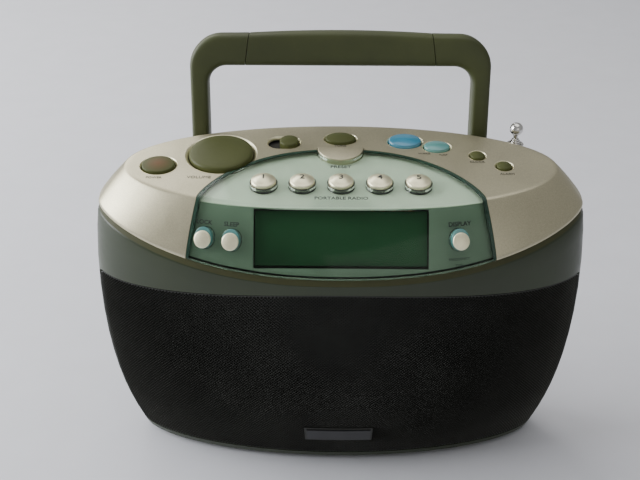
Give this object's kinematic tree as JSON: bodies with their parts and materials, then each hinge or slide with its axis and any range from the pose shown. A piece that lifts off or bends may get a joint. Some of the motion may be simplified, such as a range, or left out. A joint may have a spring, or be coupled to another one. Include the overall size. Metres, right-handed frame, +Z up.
{
  "type": "tabletop radio",
  "caption": "Portable tabletop radio: oval cabinet with a full-width grille, tilted control panel behind a green display window, fold-down carrying handle and telescopic antenna.",
  "frame": {"origin": "middle of the whole object's footprint, on the surface the feet stand on", "axes": "+Z up, -Y towards the listener in front, +X to the right as the listener sees it"},
  "size_m": [0.2214, 0.1054, 0.1847],
  "materials": {
    "olive_plastic": "satin moulded plastic",
    "handle_plastic": "fine-grained moulded plastic",
    "silver_plastic": "warm silver metallic paint, satin",
    "green_window": "clear green tint, polished",
    "mint_plate": "satin",
    "blue_plastic": "polished translucent",
    "teal_plastic": "polished translucent",
    "black_grille": "perforated sheet, matte black",
    "dark_plastic": "satin",
    "lcd_glass": "polished",
    "chrome": "polished",
    "steel": "plain",
    "rubber": "matte",
    "circuit_board": "resin board",
    "cell_jacket": "printed jacket",
    "ferrite": "sintered",
    "iron": "varnished laminations",
    "copper": "lacquered wire",
    "paper_cone": "pressed fibre"
  },
  "bodies": {
    "cabinet": {"front_cabinet": "olive_plastic", "rear_cabinet": "olive_plastic", "top_panel": "silver_plastic", "display_window": "green_window", "display_plate": "mint_plate", "speaker_grille": "black_grille", "badge_plate": "dark_plastic", "battery_tray": "dark_plastic", "mains_inlet": "dark_plastic", "headphone_jack": "dark_plastic", "speaker_baffle": "dark_plastic", "lcd_module": "lcd_glass", "handle_pin_left": "steel", "handle_pin_right": "steel", "contact_left": "steel", "contact_right": "steel", "speaker_basket": "steel", "volume_encoder": "steel", "foot_1": "rubber", "foot_2": "rubber", "foot_3": "rubber", "foot_4": "rubber", "key_board": "circuit_board", "main_board": "circuit_board", "battery_1": "cell_jacket", "battery_2": "cell_jacket", "battery_3": "cell_jacket", "battery_4": "cell_jacket", "ferrite_rod": "ferrite", "speaker_magnet": "ferrite", "transformer": "iron", "antenna_coil": "copper", "speaker_cone": "paper_cone"},
    "knob": {"volume_knob": "olive_plastic"},
    "switch_key": {"slide_switch": "olive_plastic"},
    "handle": {"handle_arm_left": "handle_plastic", "handle_grip": "handle_plastic", "handle_arm_right": "handle_plastic"},
    "door": {"battery_door": "olive_plastic"},
    "antenna_foot": {"antenna_base": "chrome"},
    "antenna_outer": {"antenna_section_1": "chrome"},
    "antenna_second": {"antenna_section_2": "chrome"},
    "antenna_third": {"antenna_section_3": "chrome"},
    "antenna_fourth": {"antenna_section_4": "chrome"},
    "antenna_inner": {"antenna_tip": "chrome"},
    "power_button_key": {"power_button": "olive_plastic"},
    "tone_button_key": {"tone_button": "olive_plastic"},
    "wake_button_key": {"wake_button": "blue_plastic"},
    "nap_button_key": {"nap_button": "teal_plastic"},
    "clock_button_key": {"clock_button": "olive_plastic"},
    "alarm_button_key": {"alarm_button": "olive_plastic"},
    "select_tab_key": {"select_tab": "silver_plastic"},
    "lock_button_key": {"lock_button": "silver_plastic"},
    "sleep_button_key": {"sleep_button": "silver_plastic"},
    "display_button_key": {"display_button": "silver_plastic"},
    "preset_button_1_key": {"preset_button_1": "silver_plastic"},
    "preset_button_2_key": {"preset_button_2": "silver_plastic"},
    "preset_button_3_key": {"preset_button_3": "silver_plastic"},
    "preset_button_4_key": {"preset_button_4": "silver_plastic"},
    "preset_button_5_key": {"preset_button_5": "silver_plastic"}
  },
  "joints": [
    {"name": "volume_turn", "type": "hinge", "parent": "cabinet", "child": "knob", "pos_m": [-0.0534, 0.0028, 0.14105], "axis": [0, -0.1387, 0.9903], "range_deg": [-150, 150]},
    {"name": "switch_slide", "type": "slide", "parent": "cabinet", "child": "switch_key", "axis": [-1, 0, 0], "range_m": [0, 0.0046]},
    {"name": "handle_swing", "type": "hinge", "parent": "cabinet", "child": "handle", "pos_m": [0, 0.0358, 0.12], "axis": [-1, 0, 0], "range_deg": [0, 168]},
    {"name": "door_swing", "type": "hinge", "parent": "cabinet", "child": "door", "pos_m": [0, 0.0242, 0.009], "axis": [-1, 0, 0], "range_deg": [0, 95]},
    {"name": "antenna_swing", "type": "hinge", "parent": "cabinet", "child": "antenna_foot", "pos_m": [0.0814, 0.0223, 0.042], "axis": [0, 1, 0], "range_deg": [0, 100]},
    {"name": "antenna_tilt", "type": "hinge", "parent": "antenna_foot", "child": "antenna_outer", "pos_m": [0.0814, 0.0223, 0.042], "axis": [-1, 0, 0], "range_deg": [0, 90]},
    {"name": "antenna_pull", "type": "slide", "parent": "antenna_outer", "child": "antenna_second", "axis": [0, 0, 1], "range_m": [0, 0.08]},
    {"name": "antenna_pull_third", "type": "slide", "parent": "antenna_second", "child": "antenna_third", "axis": [0, 0, 1], "range_m": [0, 0.08]},
    {"name": "antenna_pull_fourth", "type": "slide", "parent": "antenna_third", "child": "antenna_fourth", "axis": [0, 0, 1], "range_m": [0, 0.08]},
    {"name": "antenna_pull_inner", "type": "slide", "parent": "antenna_fourth", "child": "antenna_inner", "axis": [0, 0, 1], "range_m": [0, 0.08]},
    {"name": "power_button_press", "type": "slide", "parent": "cabinet", "child": "power_button_key", "axis": [0, 0.1387, -0.9903], "range_m": [0, 0.001], "stiffness_N_per_m": 300},
    {"name": "tone_button_press", "type": "slide", "parent": "cabinet", "child": "tone_button_key", "axis": [0, 0.1387, -0.9903], "range_m": [0, 0.001], "stiffness_N_per_m": 300},
    {"name": "wake_button_press", "type": "slide", "parent": "cabinet", "child": "wake_button_key", "axis": [0, 0.1387, -0.9903], "range_m": [0, 0.001], "stiffness_N_per_m": 300},
    {"name": "nap_button_press", "type": "slide", "parent": "cabinet", "child": "nap_button_key", "axis": [0, 0.1387, -0.9903], "range_m": [0, 0.001], "stiffness_N_per_m": 300},
    {"name": "clock_button_press", "type": "slide", "parent": "cabinet", "child": "clock_button_key", "axis": [0, 0.1387, -0.9903], "range_m": [0, 0.001], "stiffness_N_per_m": 300},
    {"name": "alarm_button_press", "type": "slide", "parent": "cabinet", "child": "alarm_button_key", "axis": [0, 0.1387, -0.9903], "range_m": [0, 0.001], "stiffness_N_per_m": 300},
    {"name": "select_tab_press", "type": "slide", "parent": "cabinet", "child": "select_tab_key", "axis": [0, 0.1387, -0.9903], "range_m": [0, 0.0006], "stiffness_N_per_m": 300},
    {"name": "lock_button_press", "type": "slide", "parent": "cabinet", "child": "lock_button_key", "axis": [0.1783, 0.844, -0.5059], "range_m": [0, 0.0012], "stiffness_N_per_m": 300},
    {"name": "sleep_button_press", "type": "slide", "parent": "cabinet", "child": "sleep_button_key", "axis": [0.1369, 0.857, -0.4969], "range_m": [0, 0.0012], "stiffness_N_per_m": 300},
    {"name": "display_button_press", "type": "slide", "parent": "cabinet", "child": "display_button_key", "axis": [-0.1498, 0.8534, -0.4994], "range_m": [0, 0.0012], "stiffness_N_per_m": 300},
    {"name": "preset_button_1_press", "type": "slide", "parent": "cabinet", "child": "preset_button_1_key", "axis": [0, 0.1387, -0.9903], "range_m": [0, 0.0012], "stiffness_N_per_m": 300},
    {"name": "preset_button_2_press", "type": "slide", "parent": "cabinet", "child": "preset_button_2_key", "axis": [0, 0.1387, -0.9903], "range_m": [0, 0.0012], "stiffness_N_per_m": 300},
    {"name": "preset_button_3_press", "type": "slide", "parent": "cabinet", "child": "preset_button_3_key", "axis": [0, 0.1387, -0.9903], "range_m": [0, 0.0012], "stiffness_N_per_m": 300},
    {"name": "preset_button_4_press", "type": "slide", "parent": "cabinet", "child": "preset_button_4_key", "axis": [0, 0.1387, -0.9903], "range_m": [0, 0.0012], "stiffness_N_per_m": 300},
    {"name": "preset_button_5_press", "type": "slide", "parent": "cabinet", "child": "preset_button_5_key", "axis": [0, 0.1387, -0.9903], "range_m": [0, 0.0012], "stiffness_N_per_m": 300}
  ],
  "couplings": [
    {"joint": "antenna_pull_third", "follows": "antenna_pull", "ratio": 1},
    {"joint": "antenna_pull_fourth", "follows": "antenna_pull", "ratio": 1},
    {"joint": "antenna_pull_inner", "follows": "antenna_pull", "ratio": 1}
  ]
}
